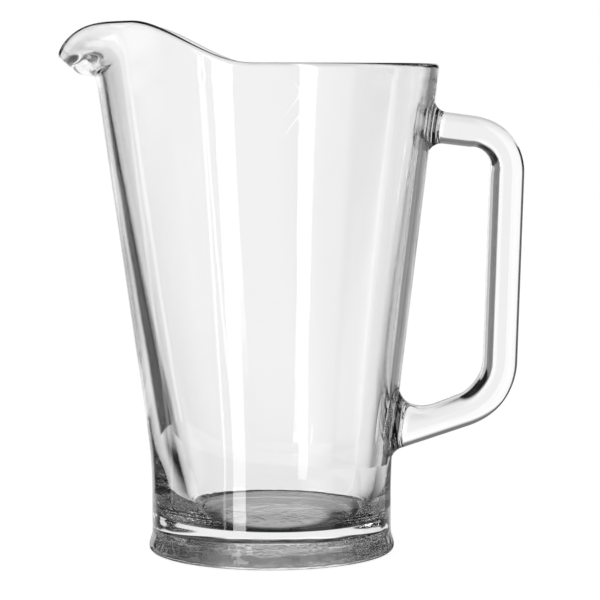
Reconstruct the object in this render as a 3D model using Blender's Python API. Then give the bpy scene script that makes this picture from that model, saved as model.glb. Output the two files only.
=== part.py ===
# Water pitcher in clear pressed glass: a heavy-based bowl with a spout drawn
# out of its rim, and a solid handle stuck to the wall at two flared roots.
# The spout points to -X and the handle to +X.

import math

import bmesh
import bpy
from mathutils import Vector

# Bowl, in metres
RIM_HEIGHT = 0.2150
WAIST_RADIUS = 0.0530
WALL_TAPER_RATIO = 0.1186
SHOULDER_HEIGHT = 0.0394
SHOULDER_BLEND = 0.008
SPOUT_LEAN_RATIO = 0.0207
RIM_WALL = 0.0036
HEEL_WALL = 0.0098
BASE_THICKNESS = 0.0145
HEEL_RISE = 0.016
HEEL_WIDTH = 0.0040
CAVITY_SHIFT = 0.0032
CAVITY_SHIFT_TOP = 0.170
CAVITY_SHIFT_POWER = 1.6

# Foot and underside
FOOT_FLARE = 0.0014
FOOT_ROUND = 0.0019
FOOT_COVE = 0.0069
BEARING_WIDTH = 0.0140
RECESS_DEPTH = 0.0012
RECESS_SLOPE = 0.0070
RECESS_DOME = 0.0015

# Spout
LIP_DEPTH = 0.0118
SPOUT_RISE = 0.0176
SPOUT_THROW = 0.0152
TROUGH_DEPTH = 0.0122
LIP_SWELL_RATIO = 0.65
LIP_PITCH = math.radians(41.5)
CREST_ANGLE = math.radians(42.0)
SHOULDER_ANGLE = math.radians(85.0)
THROW_ANGLE = math.radians(42.0)
TROUGH_ANGLE = math.radians(14.4)
NOSE_POWER = 1.65
BEND_START_SHARE = 0.596
BEND_END_SHARE = 0.758

# Handle
UPPER_ROOT_DROP = 0.0274
LOWER_ROOT_HEIGHT = 0.0513
GRIP_STANDOFF = 0.0332
UPPER_ARM_FALL = math.radians(7.4)
LOWER_ARM_FALL = math.radians(18.9)
GRIP_LEAN = math.radians(1.7)
UPPER_BEND_RADIUS = 0.0180
LOWER_BEND_RADIUS = 0.0244
BEND_RELIEF = 0.0013
ARM_DEPTH = 0.0137
GRIP_DEPTH = 0.0147
HANDLE_WIDTH = 0.0190
HANDLE_CORNER = 0.0054
ROOT_FILLET = 0.0064
CROTCH_FILLET = 0.0110
FILLET_EDGE = math.radians(15.0)
BOND_GAP = 0.0003

# Facets
SPOUT_STEPS = 32
WALL_STEPS = 48
FOOT_STEPS = 5
SHOULDER_RINGS = (-1.5, -0.6, 0.2, 1.0, 2.2, 5.0)
STRAIGHT_STEPS = 4
LIP_STEPS = 8
RIM_STEPS = 7
FLOOR_STEPS = 9
BEND_STEPS = 8
CORNER_STEPS = 4
SEAT_RINGS = 3
FILLET_STEPS = 5
SMALLEST_EDGE = 1e-6
SHARP_EDGE = math.radians(40.0)


def ease(u):
    """Half a cosine wave, from 0 at u = 0 to 1 at u = 1."""
    return (1 - math.cos(math.pi * min(max(u, 0.0), 1.0))) / 2


def soft_ramp(x, blend):
    """0 well below zero and x well above it, with a smooth bend between."""
    return (x + math.hypot(x, blend)) / 2


def spread(start, end, count):
    """Evenly spaced values from start to end, both included."""
    return [start + (end - start) * i / (count - 1) for i in range(count)]


# Bowl wall

def outer_radius(z):
    return WAIST_RADIUS + WALL_TAPER_RATIO * soft_ramp(z - SHOULDER_HEIGHT, SHOULDER_BLEND)


def inner_radius(z):
    """Inner wall: a cone, drawn in by a quarter ellipse towards the floor."""
    heel_top = BASE_THICKNESS + HEEL_RISE
    at_rim = outer_radius(RIM_HEIGHT) - RIM_WALL
    at_heel = outer_radius(heel_top) - HEEL_WALL
    cone = at_rim + (at_heel - at_rim) * (RIM_HEIGHT - z) / (RIM_HEIGHT - heel_top)
    depth = min(max((heel_top - z) / HEEL_RISE, 0.0), 1.0)
    return cone - HEEL_WIDTH * (1 - math.sqrt(1 - depth * depth))


def cavity_shift(z):
    """How far the cavity stands off the axis towards the handle, dying out upwards."""
    return CAVITY_SHIFT * max(1 - z / CAVITY_SHIFT_TOP, 0.0) ** CAVITY_SHIFT_POWER


def in_cavity(radius, z):
    """Whether a point of the turned section lies on the floor or the inner wall."""
    middle = (outer_radius(z) + inner_radius(z)) / 2
    return z > BASE_THICKNESS - SMALLEST_EDGE and radius < middle


def lean(z, phi):
    """How far the wall leans out towards the spout, phi being the angle from it."""
    height = soft_ramp(z - SHOULDER_HEIGHT, SHOULDER_BLEND)
    return SPOUT_LEAN_RATIO * height * (1 + math.cos(phi)) / 2


def lip_frame():
    """Middle of the wall where the lip starts, its direction and its length."""
    start_z = RIM_HEIGHT - LIP_DEPTH
    end_z = RIM_HEIGHT - RIM_WALL / 2
    start = Vector(((outer_radius(start_z) + inner_radius(start_z)) / 2, start_z))
    end = Vector(((outer_radius(end_z) + inner_radius(end_z)) / 2, end_z))
    return start, (end - start).normalized(), (end - start).length


def foot_profile():
    """Underside, foot and waist: domed recess, bearing ring, rounded foot, cove."""
    foot_radius = WAIST_RADIUS + FOOT_FLARE
    bearing_outer = foot_radius - FOOT_ROUND
    bearing_inner = bearing_outer - BEARING_WIDTH
    points = []
    for u in spread(0, 1, FOOT_STEPS)[:-1]:
        points.append(((bearing_inner - RECESS_SLOPE) * u, RECESS_DEPTH + RECESS_DOME * (1 - u * u)))
    for u in spread(0, 1, FOOT_STEPS):
        points.append((bearing_inner - RECESS_SLOPE * (1 - u), RECESS_DEPTH * (1 - ease(u))))
    for angle in spread(0, math.pi / 2, FOOT_STEPS):
        points.append((bearing_outer + FOOT_ROUND * math.sin(angle), FOOT_ROUND * (1 - math.cos(angle))))
    for u in spread(0, 1, FOOT_STEPS)[1:]:
        z = FOOT_ROUND + FOOT_COVE * u
        points.append((outer_radius(z) + FOOT_FLARE * (1 - ease(u)), z))
    return points


def wall_heights():
    """Heights of the rings between the foot and the lip, closer at the shoulder."""
    waist = FOOT_ROUND + FOOT_COVE
    shoulder = [SHOULDER_HEIGHT + SHOULDER_BLEND * k for k in SHOULDER_RINGS]
    upper = spread(shoulder[-1], RIM_HEIGHT - LIP_DEPTH, STRAIGHT_STEPS)
    return [z for z in shoulder if z > waist] + upper[1:]


def rim_profile():
    """Lip and rounded rim, from the start of the lip outside to its start inside."""
    start, along, length = lip_frame()
    out = Vector((along.y, -along.x))
    half = RIM_WALL / 2
    taper = (outer_radius(start.y) - start.x) * along.y - half
    steps = spread(0, 1, LIP_STEPS)[1:]
    points = [start + along * length * u + out * (half + taper * (1 - u)) for u in steps]
    rim = start + along * length
    points += [rim + (out * math.cos(a) + along * math.sin(a)) * half
               for a in spread(0, math.pi, RIM_STEPS)[1:-1]]
    points += [start + along * length * u - out * (half + taper * (1 - u)) for u in reversed(steps)]
    return [tuple(p) for p in points]


def bowl_profile():
    """Section of the bowl before the spout is drawn, from underside to floor."""
    heel_top = BASE_THICKNESS + HEEL_RISE
    lip_z = RIM_HEIGHT - LIP_DEPTH
    points = foot_profile()
    points += [(outer_radius(z), z) for z in wall_heights()]
    points += rim_profile()
    points += [(inner_radius(z), z) for z in spread(lip_z, heel_top, STRAIGHT_STEPS)]
    points += [(inner_radius(z), z)
               for z in (heel_top - HEEL_RISE * math.sin(a) for a in spread(0, math.pi / 2, FLOOR_STEPS)[1:])]
    return points + [(0.0, BASE_THICKNESS)]


# Spout

def rim_rise(phi):
    """Height of the rim above its plain level: up to the crests, down in the trough."""
    crest = SPOUT_RISE * (1 - ease((phi - CREST_ANGLE) / (SHOULDER_ANGLE - CREST_ANGLE)))
    return crest - TROUGH_DEPTH * math.exp(-(phi / TROUGH_ANGLE) ** 2)


def bezier(points, t):
    """Place and unit direction at t on a cubic curve."""
    a, b, c, d = points
    s = 1 - t
    place = a * s ** 3 + b * 3 * s * s * t + c * 3 * s * t * t + d * t ** 3
    slope = (b - a) * s * s + (c - b) * 2 * s * t + (d - c) * t * t
    return place, slope.normalized()


def drawn(r, z, phi):
    """Where a point of the turned section goes when the spout is drawn at angle phi."""
    start, along, length = lip_frame()
    out = Vector((along.y, -along.x))
    offset = Vector((r, z)) - start
    travel, depth = offset.dot(along), offset.dot(out)
    if travel <= 0:
        return r, z
    pull = ease(1 - phi / THROW_ANGLE) ** NOSE_POWER
    plain_pitch = math.atan2(along.y, along.x)
    pitch = plain_pitch + (LIP_PITCH - plain_pitch) * pull
    heading = Vector((math.cos(pitch), math.sin(pitch)))
    end = start + along * (length + rim_rise(phi) / along.y) + Vector((SPOUT_THROW * pull, 0))
    chord = (end - start).length
    curve = (start, start + along * chord * BEND_START_SHARE, end - heading * chord * BEND_END_SHARE, end)
    t = min(travel / length, 1.0)
    place, direction = bezier(curve, t)
    normal = Vector((direction.y, -direction.x))
    swell = 1 + LIP_SWELL_RATIO * pull * math.sin(math.pi * t ** 2) ** 2
    moved = place + normal * depth * swell + direction * max(travel - length, 0.0)
    return moved.x, moved.y


def build_bowl():
    """Turn the section about the axis, then draw the spout out of the hot rim."""
    bm = bmesh.new()
    first = -THROW_ANGLE
    verts = [bm.verts.new((-r * math.cos(first), -r * math.sin(first), z)) for r, z in bowl_profile()]
    edges = [bm.edges.new(pair) for pair in zip(verts, verts[1:])]
    turns = ((2 * THROW_ANGLE, SPOUT_STEPS), (2 * math.pi - 2 * THROW_ANGLE, WALL_STEPS))
    section = verts + edges
    for angle, steps in turns:
        spun = bmesh.ops.spin(bm, geom=section, cent=(0, 0, 0), axis=(0, 0, 1), angle=angle, steps=steps)
        section = spun["geom_last"]
    bmesh.ops.remove_doubles(bm, verts=bm.verts, dist=SMALLEST_EDGE)
    for vert in bm.verts:
        x, y, z = vert.co
        radius = math.hypot(x, y)
        shift = cavity_shift(z) if in_cavity(radius, z) else 0.0
        if radius > SMALLEST_EDGE:
            phi = abs(math.atan2(y, -x))
            new_radius, z = drawn(radius, z, phi)
            scale = (new_radius + lean(z, phi)) / radius
            x, y = x * scale, y * scale
        vert.co = (x + shift, y, z)
    bmesh.ops.recalc_face_normals(bm, faces=bm.faces)
    return bm


# Handle

def wall_x(y, z):
    """Outside of the wall on the handle side, plus the bond gap."""
    radius = outer_radius(z) + BOND_GAP
    return math.sqrt(radius * radius - y * y)


def handle_path():
    """Centre line in the XZ plane: two roots and the two corners of the grip."""
    upper_z = RIM_HEIGHT - UPPER_ROOT_DROP
    upper = Vector((wall_x(0, upper_z), upper_z))
    lower = Vector((wall_x(0, LOWER_ROOT_HEIGHT), LOWER_ROOT_HEIGHT))
    top = upper + Vector((1, -math.tan(UPPER_ARM_FALL))) * GRIP_STANDOFF
    grip = Vector((-math.sin(GRIP_LEAN), -math.cos(GRIP_LEAN)))
    arm = Vector((math.cos(LOWER_ARM_FALL), math.sin(LOWER_ARM_FALL)))
    gap = lower - top
    down = (gap.x * arm.y - gap.y * arm.x) / (grip.x * arm.y - grip.y * arm.x)
    return upper, top, top + grip * down, lower


def bend(before, corner, after, radius):
    """Places and headings along the arc that rounds a corner of the path."""
    inward = (corner - before).normalized()
    outward = (after - corner).normalized()
    turn = inward.angle(outward)
    start = corner - inward * radius * math.tan(turn / 2)
    side = 1 if inward.x * outward.y - inward.y * outward.x > 0 else -1
    stations = []
    for angle in spread(0, turn, BEND_STEPS + 1):
        c, s = math.cos(side * angle), math.sin(side * angle)
        heading = Vector((inward.x * c - inward.y * s, inward.x * s + inward.y * c))
        across = Vector((-inward.y, inward.x)) * side
        place = start + inward * radius * math.sin(angle) + across * radius * (1 - math.cos(angle))
        stations.append((place, heading))
    return stations


def section_ring(half_depth):
    """Rounded rectangle: pairs of depth in the plane of the handle and width across it."""
    flat_depth = half_depth - HANDLE_CORNER
    flat_width = HANDLE_WIDTH / 2 - HANDLE_CORNER
    ring = []
    for quarter, (sv, sy) in enumerate(((1, 1), (-1, 1), (-1, -1), (1, -1))):
        for angle in spread(quarter * math.pi / 2, (quarter + 1) * math.pi / 2, CORNER_STEPS + 1):
            ring.append((sv * flat_depth + HANDLE_CORNER * math.cos(angle),
                         sy * flat_width + HANDLE_CORNER * math.sin(angle)))
        v, y = ring[-1]
        ring.append((0.0, y) if quarter % 2 == 0 else (v, 0.0))
    return ring


def fillet_flare(size, reach):
    """How far a root fillet still spreads at a distance from its seat on the wall.

    The fillet is an arc that stops short of the wall's tangent, so its edge is not a feather.
    """
    rest = math.cos(FILLET_EDGE) - reach / size
    return size * (1 - math.sqrt(1 - rest * rest)) if rest > 0 else 0.0


def root_rings(root, heading, outside, above):
    """Rings of a flared root, from the seat on the wall out to the plain arm.

    The section's depth runs to the outside of the handle's loop, which is up (1)
    at the upper root and down (-1) at the lower one. The fillet above the arm has its
    own radius, and a fillet is longer in a sharp corner than in a blunt one.
    """
    half_depth, half_width = ARM_DEPTH / 2, HANDLE_WIDTH / 2
    slope = math.atan2(heading.y, heading.x)
    half_corner = (math.pi / 2 - math.atan(WALL_TAPER_RATIO) - slope) / 2
    above_size = above / math.tan(half_corner)
    below_size = ROOT_FILLET * math.tan(half_corner)
    longest = max(above_size, below_size, ROOT_FILLET) * math.cos(FILLET_EDGE)
    stations = [(0.0, k / SEAT_RINGS) for k in range(1, SEAT_RINGS)]
    stations += [(longest * (1 - math.cos(a)), 1.0) for a in spread(0, math.pi / 2, FILLET_STEPS + 1)]
    rings = []
    for reach, size in stations:
        upward = 1 + fillet_flare(above_size, reach) / half_depth
        downward = 1 + fillet_flare(below_size, reach) / half_depth
        sideways = 1 + fillet_flare(ROOT_FILLET, reach) / half_width
        centre_z = root.y + reach * math.tan(slope)
        ring = []
        for v, y in section_ring(half_depth):
            rise = v * outside
            z = centre_z + size * rise * (upward if rise > 0 else downward) / math.cos(slope)
            across = size * y * sideways
            ring.append(Vector((wall_x(across, z) + reach, across, z)))
        rings.append(ring)
    return rings


def plain_ring(place, heading, half_depth, relief):
    """A square-cut ring at one place on the path, thinner by relief inside the bend."""
    normal = Vector((-heading.y, heading.x))
    ring = []
    for v, y in section_ring(half_depth):
        depth = v if v > 0 else v * (1 - relief / half_depth)
        ring.append(Vector((place.x + normal.x * depth, y, place.y + normal.y * depth)))
    return ring


def add_tube(bm, rings, first_centre, last_centre):
    """Closed skin over rings of equal count, with a point closing each end."""
    loops = [[bm.verts.new(p) for p in ring] for ring in rings]
    for near, far in zip(loops, loops[1:]):
        for i in range(len(near)):
            j = (i + 1) % len(near)
            bm.faces.new((near[i], near[j], far[j], far[i]))
    for loop, centre in ((loops[0], first_centre), (loops[-1], last_centre)):
        tip = bm.verts.new(centre)
        for i in range(len(loop)):
            bm.faces.new((loop[i], loop[(i + 1) % len(loop)], tip))


def build_handle():
    """Sweep the section along the path, between two roots seated on the wall."""
    upper, top, bottom, lower = handle_path()
    upper_heading = (top - upper).normalized()
    lower_heading = (bottom - lower).normalized()
    upper_bend = bend(upper, top, bottom, UPPER_BEND_RADIUS)
    stations = upper_bend + bend(top, bottom, lower, LOWER_BEND_RADIUS)
    rings = root_rings(upper, upper_heading, 1, ROOT_FILLET)
    for i, (place, heading) in enumerate(stations):
        along = i / (len(stations) - 1)
        swell = ease(min(along, 1 - along) * 4)
        depth = ARM_DEPTH + (GRIP_DEPTH - ARM_DEPTH) * swell
        relief = BEND_RELIEF * math.sin(math.pi * min(i / (len(upper_bend) - 1), 1.0))
        rings.append(plain_ring(place, heading, depth / 2, relief))
    rings += reversed(root_rings(lower, lower_heading, -1, CROTCH_FILLET))
    bm = bmesh.new()
    seats = [Vector((wall_x(0, root.y), 0, root.y)) for root in (upper, lower)]
    add_tube(bm, rings, *seats)
    bmesh.ops.remove_doubles(bm, verts=bm.verts, dist=SMALLEST_EDGE)
    bmesh.ops.recalc_face_normals(bm, faces=bm.faces)
    return bm


# Assembly

def glass(name):
    """Clear colourless glass."""
    material = bpy.data.materials.new(name)
    material.use_nodes = True
    shader = material.node_tree.nodes["Principled BSDF"]
    shader.inputs["Base Color"].default_value = (0.95, 0.97, 0.97, 1.0)
    shader.inputs["Roughness"].default_value = 0.02
    shader.inputs["Metallic"].default_value = 0.0
    shader.inputs["IOR"].default_value = 1.52
    shader.inputs["Transmission Weight"].default_value = 1.0
    return material


def add_piece(name, bm, parent):
    """A named object for one piece of glass, standing on the bowl's axis."""
    mesh = bpy.data.meshes.new(name)
    bm.to_mesh(mesh)
    bm.free()
    mesh.shade_smooth()
    mesh.set_sharp_from_angle(angle=SHARP_EDGE)
    mesh.materials.append(glass(name + "_glass"))
    piece = bpy.data.objects.new(name, mesh)
    bpy.context.scene.collection.objects.link(piece)
    piece.parent = parent
    return piece


def main():
    for old in list(bpy.data.objects):
        bpy.data.objects.remove(old, do_unlink=True)
    axis = bpy.data.objects.new("bowl_axis", None)
    bpy.context.scene.collection.objects.link(axis)
    pieces = [add_piece("glass_body", build_bowl(), axis), add_piece("handle", build_handle(), axis)]
    reach = [vert.co.x for piece in pieces for vert in piece.data.vertices]
    axis.location.x = -(min(reach) + max(reach)) / 2


main()
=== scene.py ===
# Looks of the glass water pitcher: the bowl with its drawn spout and the stuck-on handle as fine
# surfaces in clear glass, on a white sweep in soft studio light.
import math

import bpy
import numpy as np
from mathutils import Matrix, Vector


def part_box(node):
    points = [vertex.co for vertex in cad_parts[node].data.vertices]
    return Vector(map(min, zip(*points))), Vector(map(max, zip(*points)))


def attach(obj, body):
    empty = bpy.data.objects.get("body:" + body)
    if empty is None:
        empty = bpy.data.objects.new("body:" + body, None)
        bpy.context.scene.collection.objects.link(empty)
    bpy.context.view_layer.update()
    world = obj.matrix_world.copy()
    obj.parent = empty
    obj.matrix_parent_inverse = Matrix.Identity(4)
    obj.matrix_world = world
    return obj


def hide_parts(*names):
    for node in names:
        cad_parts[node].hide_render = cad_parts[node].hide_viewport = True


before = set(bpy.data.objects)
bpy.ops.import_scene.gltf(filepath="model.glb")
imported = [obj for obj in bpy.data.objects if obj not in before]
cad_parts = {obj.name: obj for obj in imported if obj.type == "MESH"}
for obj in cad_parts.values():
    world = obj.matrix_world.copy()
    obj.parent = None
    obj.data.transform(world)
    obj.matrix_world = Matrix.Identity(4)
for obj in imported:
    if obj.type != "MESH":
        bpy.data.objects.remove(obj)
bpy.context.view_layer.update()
print("frame loaded:", sorted(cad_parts))


# Curves and meshes that both glass pieces use

def ease(u):  # half a cosine wave, from 0 at u = 0 to 1 at u = 1
    return (1 - np.cos(np.pi * np.clip(u, 0, 1))) / 2


def softRamp(x, blend):  # 0 well below zero and x well above it, a hyperbola between
    return (x + np.hypot(x, blend)) / 2


def skinRings(name, rings, startPoint, endPoint):
    # rings is rows x columns x 3: quads join each closed row to the next, a fan closes each end
    rows, cols = rings.shape[:2]
    here = np.arange(cols)
    after = (here + 1) % cols
    base = np.arange(rows - 1)[:, None] * cols
    quads = np.stack([base + here, base + after, base + cols + after, base + cols + here], -1).reshape(-1, 4)
    last = (rows - 1) * cols
    startFan = np.stack([after, here, np.full(cols, rows * cols)], -1)
    endFan = np.stack([last + here, last + after, np.full(cols, rows * cols + 1)], -1)
    verts = np.concatenate([rings.reshape(-1, 3), [startPoint, endPoint]])
    fans = np.concatenate([startFan, endFan])
    corners = np.concatenate([fans, quads[:, :3], quads[:, [0, 2, 3]]])
    a, b, c = (verts[corners[:, k]] for k in range(3))
    if np.einsum("ij,ij->", a, np.cross(b, c)) < 0:  # signed volume: turn the faces outwards
        quads, fans = quads[:, ::-1], fans[:, ::-1]
    mesh = bpy.data.meshes.new(name)
    mesh.from_pydata(verts.tolist(), [], quads.tolist() + fans.tolist())
    mesh.polygons.foreach_set("use_smooth", np.ones(len(mesh.polygons), bool))
    mesh.update()
    piece = bpy.data.objects.new(name, mesh)
    bpy.context.scene.collection.objects.link(piece)
    return piece


# Bowl, heavy base and foot, in metres

bowl = dict(
    rimHeight=0.2150, waistRadius=0.0530, taper=0.1186, shoulderHeight=0.0394, shoulderBlend=0.008,
    spoutSideLean=0.0207, rimWall=0.0036, heelWall=0.0098, baseThickness=0.0145,
    heelRise=0.016, heelWidth=0.0040, cavityShift=0.0032, cavityShiftTop=0.170, cavityShiftPower=1.6,
    angleSteps=288, spoutDensity=0.4, outsideSteps=64, lipSteps=34, rimSteps=16, insideSteps=48, heelSteps=48,
)
foot = dict(
    flare=0.0014, edgeRound=0.0019, cove=0.0069, bearingWidth=0.0140, recessDepth=0.0012,
    recessSlope=0.0070, recessDome=0.0015, runSteps=12, edgeSteps=18,
)


def wallOutside(z):  # the waist, then a cone that sets out softly at the shoulder
    return bowl["waistRadius"] + bowl["taper"] * softRamp(z - bowl["shoulderHeight"], bowl["shoulderBlend"])


def wallInside(z):  # a cone, drawn in by a quarter ellipse towards the floor
    heelTop = bowl["baseThickness"] + bowl["heelRise"]
    atRim = wallOutside(bowl["rimHeight"]) - bowl["rimWall"]
    atHeel = wallOutside(heelTop) - bowl["heelWall"]
    cone = atRim + (atHeel - atRim) * (bowl["rimHeight"] - z) / (bowl["rimHeight"] - heelTop)
    depth = np.clip((heelTop - z) / bowl["heelRise"], 0, 1)
    return cone - bowl["heelWidth"] * (1 - np.sqrt(1 - depth * depth))


def lipLine():  # middle of the wall where the lip starts, the way it runs and how far
    startZ = bowl["rimHeight"] - spout["lipDepth"]
    endZ = bowl["rimHeight"] - bowl["rimWall"] / 2
    start, end = (np.array([(wallOutside(z) + wallInside(z)) / 2, z]) for z in (startZ, endZ))
    length = np.hypot(*(end - start))
    return start, (end - start) / length, length


def bowlSection():
    # radius and height from the middle of the underside, up the outside, over the rim and down to the floor
    footRadius = bowl["waistRadius"] + foot["flare"]
    bearingOuter = footRadius - foot["edgeRound"]
    bearingInner = bearingOuter - foot["bearingWidth"]
    u = np.linspace(0, 1, foot["runSteps"])
    underside = np.stack([u * (bearingInner - foot["recessSlope"]),
                          foot["recessDepth"] + foot["recessDome"] * (1 - u * u)])[:, 1:-1]
    recess = np.stack([bearingInner - foot["recessSlope"] * (1 - u), foot["recessDepth"] * (1 - ease(u))])
    bearing = np.stack([bearingInner + foot["bearingWidth"] * u, 0 * u])[:, 1:-1]
    turn = np.linspace(0, np.pi / 2, foot["edgeSteps"])
    edge = np.stack([bearingOuter + foot["edgeRound"] * np.sin(turn), foot["edgeRound"] * (1 - np.cos(turn))])
    coveZ = foot["edgeRound"] + foot["cove"] * u[1:]
    cove = np.stack([wallOutside(coveZ) + foot["flare"] * (1 - ease(u[1:])), coveZ])
    lipZ = bowl["rimHeight"] - spout["lipDepth"]
    outZ = np.linspace(coveZ[-1], lipZ, bowl["outsideSteps"])[1:]
    outside = np.stack([wallOutside(outZ), outZ])
    start, along, length = lipLine()
    out = np.array([along[1], -along[0]])
    half = bowl["rimWall"] / 2
    thicker = (wallOutside(start[1]) - start[0]) * along[1] - half
    w = np.linspace(0, 1, bowl["lipSteps"])[1:]
    middle = start[:, None] + along[:, None] * length * w
    reach = out[:, None] * (half + thicker * (1 - w))
    roll = np.linspace(0, np.pi, bowl["rimSteps"])[1:-1]
    lipEnd = (start + along * length)[:, None]
    rim = lipEnd + half * (out[:, None] * np.cos(roll) + along[:, None] * np.sin(roll))
    heelTop = bowl["baseThickness"] + bowl["heelRise"]
    inZ = np.linspace(lipZ, heelTop, bowl["insideSteps"])
    inside = np.stack([wallInside(inZ), inZ])
    heelZ = heelTop - bowl["heelRise"] * np.sin(np.linspace(0, np.pi / 2, bowl["heelSteps"])[1:])
    heel = np.stack([wallInside(heelZ), heelZ])
    floorR = heel[0, -1] * (1 - u[1:-1])
    floorIn = np.stack([floorR, np.full(len(floorR), bowl["baseThickness"])])
    skin = np.concatenate([underside, recess, bearing, edge, cove, outside, middle + reach, rim,
                           (middle - reach)[:, ::-1], inside, heel, floorIn], axis=1)
    inner = np.arange(skin.shape[1]) >= skin.shape[1] - sum(run.shape[1] for run in (inside, heel, floorIn))
    return skin, inner


def cavityShift(z):  # the cavity runs off centre towards the handle, most at its floor
    return bowl["cavityShift"] * np.clip(1 - z / bowl["cavityShiftTop"], 0, 1) ** bowl["cavityShiftPower"]


# Spout, drawn out of the rim while it is hot

spout = dict(
    lipDepth=0.0118, rise=0.0176, throw=0.0152, troughDepth=0.0122, lipSwell=0.65,
    lipPitch=math.radians(41.5), crestAngle=math.radians(42.0), shoulderAngle=math.radians(85.0),
    throwAngle=math.radians(42.0), troughAngle=math.radians(14.4), nosePower=1.65,
    bendStart=0.596, bendEnd=0.758,
)


def drawSpout(r, z, phi):
    # the section above the lip's start is carried along a cubic curve to a rim that rises to two crests,
    # dips in the trough between them and is thrown outwards; phi is the angle from the spout
    start, along, length = lipLine()
    travel = (r - start[0]) * along[0] + (z - start[1]) * along[1]
    depth = (r - start[0]) * along[1] - (z - start[1]) * along[0]
    crest = 1 - ease((phi - spout["crestAngle"]) / (spout["shoulderAngle"] - spout["crestAngle"]))
    rise = spout["rise"] * crest - spout["troughDepth"] * np.exp(-(phi / spout["troughAngle"]) ** 2)
    pull = ease(1 - phi / spout["throwAngle"]) ** spout["nosePower"]
    plainPitch = math.atan2(along[1], along[0])
    pitch = plainPitch + (spout["lipPitch"] - plainPitch) * pull
    toRim = length + rise / along[1]
    end = np.stack([start[0] + along[0] * toRim + spout["throw"] * pull, start[1] + along[1] * toRim])
    chord = np.hypot(end[0] - start[0], end[1] - start[1])
    begin = start[:, None] + 0 * end
    leave = begin + along[:, None] * chord * spout["bendStart"]
    arrive = end - np.stack([np.cos(pitch), np.sin(pitch)]) * chord * spout["bendEnd"]
    t = np.clip(travel / length, 0, 1)
    s = 1 - t
    curve = [begin, leave, arrive, end]
    weights = [s ** 3, 3 * s * s * t, 3 * s * t * t, t ** 3]
    place = sum(point[:, None] * weight for point, weight in zip(curve, weights))
    slopes = [s * s, 2 * s * t, t * t]
    slope = sum((q - p)[:, None] * weight for p, q, weight in zip(curve, curve[1:], slopes))
    slope = slope / np.hypot(slope[0], slope[1])
    swell = 1 + spout["lipSwell"] * pull * np.sin(np.pi * t ** 2) ** 2
    beyond = np.maximum(travel - length, 0)
    newR = place[0] + slope[1] * depth * swell + slope[0] * beyond
    newZ = place[1] - slope[0] * depth * swell + slope[1] * beyond
    return np.where(travel > 0, newR, r), np.where(travel > 0, newZ, z)


def buildBowl():
    # the section turned about the axis, with the spout drawn and the wall leant out towards it
    u = np.arange(bowl["angleSteps"]) / bowl["angleSteps"] * 2 * np.pi - np.pi
    angle = u - bowl["spoutDensity"] * np.sin(u)  # closer steps at the spout, which points to -X
    section, inner = bowlSection()
    r, z = drawSpout(section[0][:, None], section[1][:, None], np.abs(angle))
    height = softRamp(z - bowl["shoulderHeight"], bowl["shoulderBlend"])
    r = r + bowl["spoutSideLean"] * height * (1 + np.cos(angle)) / 2
    rings = np.stack([-r * np.cos(angle), r * np.sin(angle), z], -1)
    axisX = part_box("glass_body")[1].x - rings[..., 0].max()
    rings[..., 0] += axisX + inner[:, None] * cavityShift(z)
    underMiddle = (axisX, 0, foot["recessDepth"] + foot["recessDome"])
    floorMiddle = (axisX + cavityShift(bowl["baseThickness"]), 0, bowl["baseThickness"])
    return skinRings("clearBowl", rings, underMiddle, floorMiddle), axisX


# Handle, a solid bar of glass with a flared root on the wall at each end

handle = dict(
    upperRootDrop=0.0274, lowerRootHeight=0.0513, gripStandoff=0.0335, upperArmFall=math.radians(7.4),
    lowerArmFall=math.radians(18.9), gripLean=math.radians(1.7), upperBendRadius=0.0180,
    lowerBendRadius=0.0244, bendRelief=0.0013, armDepth=0.0137, gripDepth=0.0147, width=0.0190,
    corner=0.0054, rootFillet=0.0064, crotchFillet=0.0110, filletEdge=math.radians(15.0), sink=0.0004,
    cornerSteps=14, flatSteps=8, filletSteps=28, seatSteps=6, bendSteps=40, armSteps=10, gripSteps=40,
    swellRate=1.88,
)


def sectionTemplate():
    # a rounded rectangle as corner signs and arc angles: the signs slide along the flats
    signs = np.array([(1, 1), (-1, 1), (-1, -1), (1, -1), (1, 1)], float)
    arcs, flats = handle["cornerSteps"], handle["flatSteps"]
    turn = np.linspace(0, np.pi / 2, arcs, endpoint=False)
    slide = np.linspace(0, 1, flats, endpoint=False)[:, None]
    corners, angles = [], []
    for quarter in range(4):
        corners += [np.repeat(signs[quarter:quarter + 1], arcs, 0),
                    signs[quarter] + (signs[quarter + 1] - signs[quarter]) * slide]
        angles += [quarter * np.pi / 2 + turn, np.full(flats, (quarter + 1) * np.pi / 2)]
    corners, angles = np.concatenate(corners), np.concatenate(angles)
    return corners[:, 0], corners[:, 1], np.cos(angles), np.sin(angles)


def sectionRing(halfDepth):  # depth in the plane of the handle and width across it
    sv, sy, c, s = sectionTemplate()
    radius = handle["corner"]
    return sv * (halfDepth - radius) + radius * c, sy * (handle["width"] / 2 - radius) + radius * s


def wallX(y, z):  # outside of the wall on the handle's side, less what the root is sunk into it
    return np.sqrt((wallOutside(z) - handle["sink"]) ** 2 - y * y)


def filletFlare(size, reach):  # an arc that stops short of the wall's tangent
    rest = np.clip(math.cos(handle["filletEdge"]) - reach / size, 0, None)
    return size * (1 - np.sqrt(1 - rest * rest))


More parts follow.
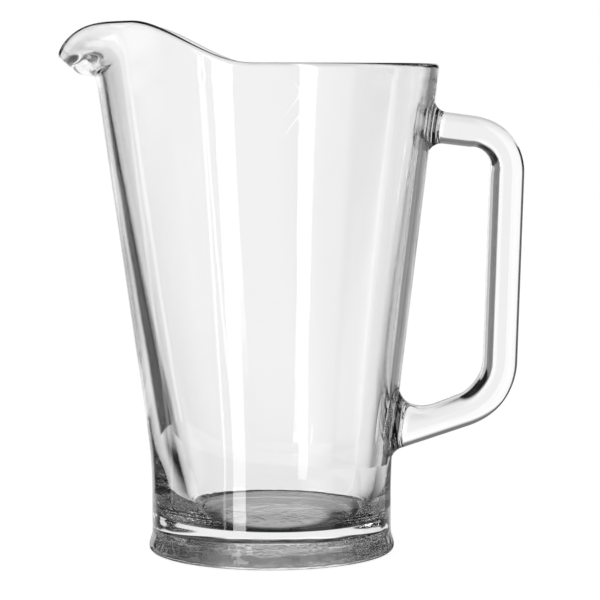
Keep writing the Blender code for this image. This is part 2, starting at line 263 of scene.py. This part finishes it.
def rootRings(root, heading, outside, above):
    # rings from the middle of the seat on the wall out to the plain arm, flared by three fillets
    halfDepth, halfWidth = handle["armDepth"] / 2, handle["width"] / 2
    slope = math.atan2(heading[1], heading[0])
    halfCorner = (math.pi / 2 - math.atan(bowl["taper"]) - slope) / 2
    aboveSize = above / math.tan(halfCorner)
    belowSize = handle["rootFillet"] * math.tan(halfCorner)
    longest = max(aboveSize, belowSize, handle["rootFillet"]) * math.cos(handle["filletEdge"])
    seat = np.linspace(0, 1, handle["seatSteps"] + 1)[1:-1]
    out = longest * (1 - np.cos(np.linspace(0, np.pi / 2, handle["filletSteps"])))
    reach = np.concatenate([0 * seat, out])[:, None]
    size = np.concatenate([seat, np.ones(len(out))])[:, None]
    v, y = sectionRing(halfDepth)
    rise = v * outside
    upward = 1 + filletFlare(aboveSize, reach) / halfDepth
    downward = 1 + filletFlare(belowSize, reach) / halfDepth
    sideways = 1 + filletFlare(handle["rootFillet"], reach) / halfWidth
    flare = np.where(rise > 0, upward, downward)
    z = root[1] + reach * math.tan(slope) + size * rise * flare / math.cos(slope)
    across = size * y * sideways
    return np.stack([wallX(across, z) + reach, across, z], -1)


def bendRings(before, corner, after, radius, relief, swell):
    # the section carried square to an arc that rounds one corner of the handle's path
    inward = (corner - before) / np.hypot(*(corner - before))
    outward = (after - corner) / np.hypot(*(after - corner))
    turn = math.acos(np.dot(inward, outward))
    start = corner - inward * radius * math.tan(turn / 2)
    a = np.linspace(0, turn, handle["bendSteps"])[:, None]
    c, s = np.cos(a), np.sin(a)
    across = np.array([inward[1], -inward[0]])  # the path turns clockwise, to the inside of the loop
    place = start + radius * (inward * s + across * (1 - c))
    normal = np.concatenate([-(inward[1] * c - inward[0] * s), inward[0] * c + inward[1] * s], 1)
    along = a / turn
    depth = handle["armDepth"] + (handle["gripDepth"] - handle["armDepth"]) * swell(along)
    v, y = sectionRing(depth / 2)
    thinner = 1 - relief * np.sin(np.pi * along) / (depth / 2)
    v = np.where(v > 0, v, v * thinner)
    return np.stack([place[:, :1] + normal[:, :1] * v, y + 0 * v, place[:, 1:] + normal[:, 1:] * v], -1)


def between(first, last, steps):  # straight runs: rings blended evenly from one to the next
    t = np.linspace(0, 1, steps + 2)[1:-1, None, None]
    return first[None] + (last - first)[None] * t


def buildHandle(axisX):
    # upper root, bend, grip, bend and lower root; the corners lie where arms and grip cross
    upperZ = bowl["rimHeight"] - handle["upperRootDrop"]
    upper = np.array([wallX(0, upperZ), upperZ])
    lower = np.array([wallX(0, handle["lowerRootHeight"]), handle["lowerRootHeight"]])
    top = upper + np.array([1, -math.tan(handle["upperArmFall"])]) * (handle["gripStandoff"] + handle["sink"])
    grip = -np.array([math.sin(handle["gripLean"]), math.cos(handle["gripLean"])])
    arm = np.array([math.cos(handle["lowerArmFall"]), math.sin(handle["lowerArmFall"])])
    gap = lower - top
    bottom = top + grip * (gap[0] * arm[1] - gap[1] * arm[0]) / (grip[0] * arm[1] - grip[1] * arm[0])
    rate = handle["swellRate"]
    upperRoot = rootRings(upper, top - upper, 1, handle["rootFillet"])
    upperBend = bendRings(upper, top, bottom, handle["upperBendRadius"], handle["bendRelief"],
                          lambda u: ease(rate * u))
    lowerBend = bendRings(top, bottom, lower, handle["lowerBendRadius"], 0.0, lambda u: ease(rate * (1 - u)))
    lowerRoot = rootRings(lower, bottom - lower, -1, handle["crotchFillet"])[::-1]
    runs = [upperRoot, between(upperRoot[-1], upperBend[0], handle["armSteps"]), upperBend,
            between(upperBend[-1], lowerBend[0], handle["gripSteps"]), lowerBend,
            between(lowerBend[-1], lowerRoot[0], handle["armSteps"]), lowerRoot]
    rings = np.concatenate(runs)
    rings[..., 0] += axisX
    seats = [(axisX + root[0], 0, root[1]) for root in (upper, lower)]
    return skinRings("stuckHandle", rings, *seats)


# Nodes that the glass, the light and the table use

def fillSocket(links, socket, value):  # a number is set on the socket, another socket is linked to it
    if isinstance(value, (int, float)):
        socket.default_value = value
    else:
        links.new(value, socket)


def mathNodes(nodes, links):  # gives a function that adds one math node
    def arithmetic(operation, *values):
        node = nodes.new("ShaderNodeMath")
        node.operation = operation
        for socket, value in zip(node.inputs, values):
            fillSocket(links, socket, value)
        return node.outputs["Value"]

    return arithmetic


def rangeNodes(nodes, links, easing):  # gives a function that adds one map range node
    ends = ("From Min", "From Max", "To Min", "To Max")

    def mapped(value, *levels):
        node = nodes.new("ShaderNodeMapRange")
        node.interpolation_type = easing
        links.new(value, node.inputs["Value"])
        for socket, level in zip(ends, levels):
            fillSocket(links, node.inputs[socket], level)
        return node.outputs["Result"]

    return mapped


def angleFrom(arithmetic, compass, aside):  # angle away from one compass direction, to either side
    turned = arithmetic("COSINE", arithmetic("SUBTRACT", compass, math.radians(aside)))
    return arithmetic("ARCCOSINE", turned)


# Clear glass

glassLook = dict(
    ior=1.52, tint=(0.995, 0.996, 0.995, 1), absorbColour=(0.94, 0.95, 0.945, 1), absorbDensity=3.0,
    waveScale=26.0, waveDetail=1, waveHeight=0.00012, rippleScale=95.0, rippleDetail=2, rippleHeight=0.00001,
    polishDetail=3, polishFrom=0.35, polishTo=0.7, polishLow=0.0, polishHigh=0.012,
    stippleScale=700.0, stippleDetail=2, stippleHeight=0.0004, stippleRoughness=0.25,
    stippleLow=0.0040, stippleTop=0.0060, stippleInner=0.030, innerBlend=0.001, recessShare=0.7,
    stippleOuter=0.044, outerBlend=0.002,
    footTop=0.0110, footBlend=0.0022, footScale=170.0, footDetail=1, footHeight=0.0009,
)


def clearGlass(name, axisX, stippled):
    material = bpy.data.materials.new(name)
    material.use_nodes = True
    nodes, links = material.node_tree.nodes, material.node_tree.links
    shader = nodes["Principled BSDF"]
    shader.inputs["Base Color"].default_value = glassLook["tint"]
    shader.inputs["IOR"].default_value = glassLook["ior"]
    shader.inputs["Transmission Weight"].default_value = 1.0
    absorb = nodes.new("ShaderNodeVolumeAbsorption")
    absorb.inputs["Color"].default_value = glassLook["absorbColour"]
    absorb.inputs["Density"].default_value = glassLook["absorbDensity"]
    links.new(absorb.outputs["Volume"], nodes["Material Output"].inputs["Volume"])
    place = nodes.new("ShaderNodeTexCoord")
    arithmetic = mathNodes(nodes, links)
    mapped = rangeNodes(nodes, links, "LINEAR")

    def noise(scale, detail):
        node = nodes.new("ShaderNodeTexNoise")
        node.inputs["Scale"].default_value = glassLook[scale]
        node.inputs["Detail"].default_value = glassLook[detail]
        links.new(place.outputs["Object"], node.inputs["Vector"])
        return node.outputs["Fac"]

    def bump(height, distance, onTop):
        node = nodes.new("ShaderNodeBump")
        node.inputs["Distance"].default_value = glassLook[distance]
        links.new(height, node.inputs["Height"])
        if onTop:
            links.new(onTop, node.inputs["Normal"])
        return node.outputs["Normal"]

    normal = bump(noise("waveScale", "waveDetail"), "waveHeight", None)  # slow waves of the mould
    normal = bump(noise("rippleScale", "rippleDetail"), "rippleHeight", normal)  # fire-polished skin
    polish = mapped(noise("waveScale", "polishDetail"), glassLook["polishFrom"], glassLook["polishTo"],
                    glassLook["polishLow"], glassLook["polishHigh"])
    if stippled:
        apart = nodes.new("ShaderNodeSeparateXYZ")
        links.new(place.outputs["Object"], apart.inputs["Vector"])
        height = apart.outputs["Z"]
        fromAxis = nodes.new("ShaderNodeVectorMath")
        fromAxis.operation = "DISTANCE"
        fromAxis.inputs[1].default_value = (axisX, 0, 0)
        links.new(place.outputs["Object"], fromAxis.inputs[0])
        away = fromAxis.outputs["Value"]
        # the ring it stands on is peened, the recess inside it less so, and its rounded edge is polished
        low = mapped(height, glassLook["stippleLow"], glassLook["stippleTop"], 1.0, 0.0)
        ring = mapped(away, glassLook["stippleInner"], glassLook["stippleInner"] + glassLook["innerBlend"],
                      glassLook["recessShare"], 1.0)
        rounded = mapped(away, glassLook["stippleOuter"], glassLook["stippleOuter"] + glassLook["outerBlend"],
                         1.0, 0.0)
        peened = arithmetic("MULTIPLY", arithmetic("MULTIPLY", low, ring), rounded)
        grain = arithmetic("MULTIPLY", peened, noise("stippleScale", "stippleDetail"))
        normal = bump(grain, "stippleHeight", normal)
        # the foot, chilled first by the mould, is wavier than the wall
        inFoot = mapped(height, glassLook["footTop"] - glassLook["footBlend"], glassLook["footTop"], 1.0, 0.0)
        wavy = arithmetic("MULTIPLY", inFoot, noise("footScale", "footDetail"))
        normal = bump(wavy, "footHeight", normal)
        polish = arithmetic("MULTIPLY_ADD", peened, glassLook["stippleRoughness"], polish)
    links.new(normal, shader.inputs["Normal"])
    links.new(polish, shader.inputs["Roughness"])
    return material


# Floor, light and camera

studio = dict(
    white=1.0, floorSize=6.0, floorColour=(0.90, 0.90, 0.89, 1), floorRoughness=0.9, floorGlow=0.92,
    room=0.012,  # what the dark cards around the table give back
    bounces=32, glossyBounces=16,
)
# the white paper behind the pitcher and under it: how far it reaches to either side in degrees from straight
# behind (positive towards the handle), a slightly dimmer strip of it, and its brightness by degrees above the
# horizon
paper = dict(
    left=-23.5, right=11.0, soft=9.0, dim=0.10, dimAside=3.6, dimWide=1.2, dimSoft=3.2,
    brightness=[(-90, 0.55), (-36, 0.70), (-26, 0.88), (-20, 0.90), (-16, 0.96), (-12, 1.01), (-8, 1.06),
                (12, 1.06), (17, 0.2), (90, 0.2)],
)
# the table close by, seen only in and through the glass, a glowing disc with light and shade painted in:
# a painted contact shadow under the foot, with painted light where it comes down through the bowl's floor,
# white behind, pale in front and painted shade at the handle's side; on the spout's side the paper ends in a
# soft straight edge, and the dark table past it pales towards the disc's rim; asides in degrees
nearTable = dict(
    radius=0.140, longRadius=0.182, longAside=-60.0, below=0.0004, points=96,
    paintedThroughLight=0.52, throughLightRadius=0.022, dark=0.02, paintedShadowRadius=0.0285, footRadius=0.0580, footSoft=0.0035, paintedShadeSides=0.10,
    front=0.72, frontAside=180.0, frontWide=75.0, frontSoft=6.0,
    back=0.92, backAside=-27.5, backWide=62.5, backSoft=50.0,
    bare=0.02, bareRadius=0.125, bareEnd=0.45, bareFrom=-0.020, bareSoft=0.020,
    edgeAside=-32.4, edgeAway=0.042, edgeSoft=0.032,
)
# cards, walls and lamps around it: degrees aside and above the horizon, half width and half height with the
# soft edge of each, and brightness
panels = [
    dict(aside=-50, above=3, wide=14, softWide=6, tall=5, softTall=14, bright=0.035),  # dim wall, spout side
    dict(aside=27, above=-5, wide=9, softWide=4, tall=6, softTall=3, bright=0.22),  # dim wall, handle side
    dict(aside=52, above=-12, wide=12, softWide=5, tall=10, softTall=3, bright=0.6),  # pale card, handle side
    dict(aside=-90, above=-4, wide=13, softWide=9, tall=7, softTall=3, bright=1.0),  # white card, spout side
    dict(aside=-45, above=-33, wide=16, softWide=6, tall=10.5, softTall=1.5, bright=0.95),  # table, back left
    dict(aside=135, above=-17, wide=13, softWide=8, tall=10, softTall=6, bright=0.75),  # table, front right
    dict(aside=0, above=-90, wide=180, softWide=1, tall=46, softTall=10, bright=0.5),  # table under the foot
    dict(aside=-150, above=-2, wide=5.8, softWide=0.8, tall=22, softTall=3, bright=3.4),  # tall soft box
    dict(aside=-150, above=-9.5, wide=5.8, softWide=0.8, tall=2, softTall=4, bright=9.0),  # its bright middle
    dict(aside=-135.3, above=-20, wide=0.9, softWide=0.6, tall=16, softTall=3, bright=3.0),  # slit by the box
    dict(aside=-70, above=8, wide=1.5, softWide=1.5, tall=32, softTall=4, bright=1.3),  # side strip
    dict(aside=0, above=90, wide=180, softWide=1, tall=25, softTall=10, bright=0.25),  # overhead
]
shot = dict(lens=152.59, aside=0.0126, back=1.12, up=0.210, aimUp=0.1108)


def studioLight():
    # the pitcher sees white panels and dark cards around it, the camera sees the white sweep
    world = bpy.data.worlds.new("softStudio")
    bpy.context.scene.world = world
    world.use_nodes = True
    nodes, links = world.node_tree.nodes, world.node_tree.links
    sky = nodes["Background"]
    sky.inputs["Color"].default_value = (1, 1, 1, 1)
    toward = nodes.new("ShaderNodeTexCoord")
    apart = nodes.new("ShaderNodeSeparateXYZ")
    links.new(toward.outputs["Generated"], apart.inputs["Vector"])

    arithmetic = mathNodes(nodes, links)
    eased = rangeNodes(nodes, links, "SMOOTHSTEP")
    compass = arithmetic("ARCTAN2", apart.outputs["X"], apart.outputs["Y"])
    height = arithmetic("ARCSINE", apart.outputs["Z"])

    def softEdge(away, half, soft):  # 1 inside half, easing to 0 across the soft edge
        return eased(away, math.radians(half + soft), math.radians(half), 0.0, 1.0)

    def across(aside, wide, soft):  # soft-edged band around one compass direction
        return softEdge(angleFrom(arithmetic, compass, aside), wide, soft)

    ramp = nodes.new("ShaderNodeValToRGB")
    links.new(arithmetic("MULTIPLY_ADD", height, 1 / math.pi, 0.5), ramp.inputs["Fac"])
    while len(ramp.color_ramp.elements) < len(paper["brightness"]):
        ramp.color_ramp.elements.new(0.5)
    for stop, (above, bright) in zip(ramp.color_ramp.elements, paper["brightness"]):
        stop.position = above / 180 + 0.5
        stop.color = (bright, bright, bright, 1)
    middle, half = (paper["left"] + paper["right"]) / 2, (paper["right"] - paper["left"]) / 2
    level = arithmetic("MULTIPLY", across(middle, half, paper["soft"]), ramp.outputs["Color"])
    dimmed = across(paper["dimAside"], paper["dimWide"], paper["dimSoft"])
    share = arithmetic("SUBTRACT", 1, arithmetic("MULTIPLY", dimmed, paper["dim"]))
    level = arithmetic("MULTIPLY", level, share)
    level = arithmetic("MAXIMUM", level, studio["room"])
    for panel in panels:
        away = arithmetic("ABSOLUTE", arithmetic("SUBTRACT", height, math.radians(panel["above"])))
        inWidth = across(panel["aside"], panel["wide"], panel["softWide"])
        inHeight = softEdge(away, panel["tall"], panel["softTall"])
        glow = arithmetic("MULTIPLY", arithmetic("MULTIPLY", inWidth, inHeight), panel["bright"])
        level = arithmetic("MAXIMUM", level, glow)
    path = nodes.new("ShaderNodeLightPath")
    seen = nodes.new("ShaderNodeMix")
    seen.data_type = "FLOAT"
    links.new(path.outputs["Is Camera Ray"], seen.inputs["Factor"])
    links.new(level, seen.inputs["A"])
    seen.inputs["B"].default_value = studio["white"]
    links.new(seen.outputs["Result"], sky.inputs["Strength"])


def tableCloseBy(axisX):
    # a glowing disc just under the foot, longer to one side: brightness by distance from the bowl's axis,
    # with a painted shadow round the foot and painted light in its middle, and outside the foot by compass,
    # with painted shade at the sides, and by where the paper ends
    turn = np.linspace(0, 2 * np.pi, nearTable["points"], endpoint=False)
    toward = np.clip(np.cos(turn - np.pi / 2 + math.radians(nearTable["longAside"])), 0, 1)
    reach = nearTable["radius"] + (nearTable["longRadius"] - nearTable["radius"]) * toward ** 2
    level = np.full(len(turn), -nearTable["below"])
    disc = np.stack([axisX + reach * np.cos(turn), reach * np.sin(turn), level], -1)
    mesh = bpy.data.meshes.new("tableCloseBy")
    mesh.from_pydata(disc.tolist(), [], [tuple(range(len(turn)))])
    table = bpy.data.objects.new("tableCloseBy", mesh)
    bpy.context.scene.collection.objects.link(table)
    material = bpy.data.materials.new("tableCloseBy")
    material.use_nodes = True
    nodes, links = material.node_tree.nodes, material.node_tree.links
    shader = nodes["Principled BSDF"]
    shader.inputs["Base Color"].default_value = (0, 0, 0, 1)
    shader.inputs["Roughness"].default_value = 1.0
    shader.inputs["Specular IOR Level"].default_value = 0.0
    shader.inputs["Emission Color"].default_value = (1, 1, 1, 1)
    place = nodes.new("ShaderNodeTexCoord")
    arithmetic = mathNodes(nodes, links)
    eased = rangeNodes(nodes, links, "SMOOTHSTEP")

    def vector(operation, first, second=(0, 0, 0)):
        node = nodes.new("ShaderNodeVectorMath")
        node.operation = operation
        links.new(first, node.inputs[0])
        node.inputs[1].default_value = second
        return node.outputs

    offset = vector("SUBTRACT", place.outputs["Object"], (axisX, 0, -nearTable["below"]))["Vector"]
    away = vector("LENGTH", offset)["Value"]
    apart = nodes.new("ShaderNodeSeparateXYZ")
    links.new(offset, apart.inputs["Vector"])
    compass = arithmetic("ARCTAN2", apart.outputs["X"], apart.outputs["Y"])

    def soften(value, start, soft, before, after):  # one level, then another past a soft edge
        return eased(value, nearTable[start], nearTable[start] + nearTable[soft], before, after)

    def sector(side, other):  # the level of one side inside its band of the compass, another outside it
        wide, soft = nearTable[side + "Wide"], nearTable[side + "Soft"]
        off = angleFrom(arithmetic, compass, nearTable[side + "Aside"])
        return eased(off, math.radians(wide), math.radians(wide + soft), nearTable[side], other)

    # painted light under the middle of the bowl's floor, fading out into the painted contact shadow of the
    # foot
    under = eased(away, nearTable["throughLightRadius"], nearTable["paintedShadowRadius"], nearTable["paintedThroughLight"], nearTable["dark"])
    # painted shade of the pitcher on the sides between the pale front and the white back
    around = sector("back", sector("front", nearTable["paintedShadeSides"]))
    bare = eased(away, nearTable["bareRadius"], nearTable["longRadius"],
                 nearTable["bare"], nearTable["bareEnd"])
    edge = math.radians(nearTable["edgeAside"])
    beside = vector("DOT_PRODUCT", offset, (-math.cos(edge), math.sin(edge), 0))["Value"]
    offPaper = soften(beside, "edgeAway", "edgeSoft", around, bare)
    around = soften(apart.outputs["Y"], "bareFrom", "bareSoft", around, offPaper)
    # the painted shadow and light stand inside the foot's edge, the table outside it
    whole = soften(away, "footRadius", "footSoft", under, around)
    links.new(whole, shader.inputs["Emission Strength"])
    mesh.materials.append(material)
    table.visible_camera = False
    table.visible_diffuse = False
    table.visible_shadow = False


def whiteFloor():
    half = studio["floorSize"] / 2
    mesh = bpy.data.meshes.new("sweep")
    corners = [(-half, -half, 0), (half, -half, 0), (half, half, 0), (-half, half, 0)]
    mesh.from_pydata(corners, [], [(0, 1, 2, 3)])
    sweep = bpy.data.objects.new("sweep", mesh)
    bpy.context.scene.collection.objects.link(sweep)
    material = bpy.data.materials.new("whiteSweep")
    material.use_nodes = True
    shader = material.node_tree.nodes["Principled BSDF"]
    shader.inputs["Base Color"].default_value = studio["floorColour"]
    shader.inputs["Roughness"].default_value = studio["floorRoughness"]
    shader.inputs["Emission Color"].default_value = (1, 1, 1, 1)
    shader.inputs["Emission Strength"].default_value = studio["floorGlow"]
    mesh.materials.append(material)
    sweep.visible_transmission = False  # through the glass the white panels stand for it
    sweep.visible_glossy = False


def takeShot(axisX):
    lens = bpy.data.cameras.new("shot")
    lens.lens = shot["lens"]
    camera = bpy.data.objects.new("shot", lens)
    bpy.context.scene.collection.objects.link(camera)
    camera.location = (axisX + shot["aside"], -shot["back"], shot["up"])
    camera.rotation_euler = (math.pi / 2 - math.atan2(shot["up"] - shot["aimUp"], shot["back"]), 0, 0)
    bpy.context.scene.camera = camera


clearBowl, axisX = buildBowl()
clearBowl.data.materials.append(clearGlass("bowlGlass", axisX, True))
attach(clearBowl, "root")
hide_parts("glass_body")
print("bowl:", len(clearBowl.data.polygons), "faces, axis at", round(axisX, 5))

stuckHandle = buildHandle(axisX)
stuckHandle.data.materials.append(clearGlass("handleGlass", axisX, False))
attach(stuckHandle, "root")
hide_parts("handle")
print("handle:", len(stuckHandle.data.polygons), "faces")

studioLight()
tableCloseBy(axisX)
whiteFloor()
takeShot(axisX)
look = bpy.context.scene
look.view_settings.view_transform = "Standard"
look.cycles.max_bounces = studio["bounces"]
look.cycles.transmission_bounces = studio["bounces"]
look.cycles.glossy_bounces = studio["glossyBounces"]
print("studio: floor, light and camera set")
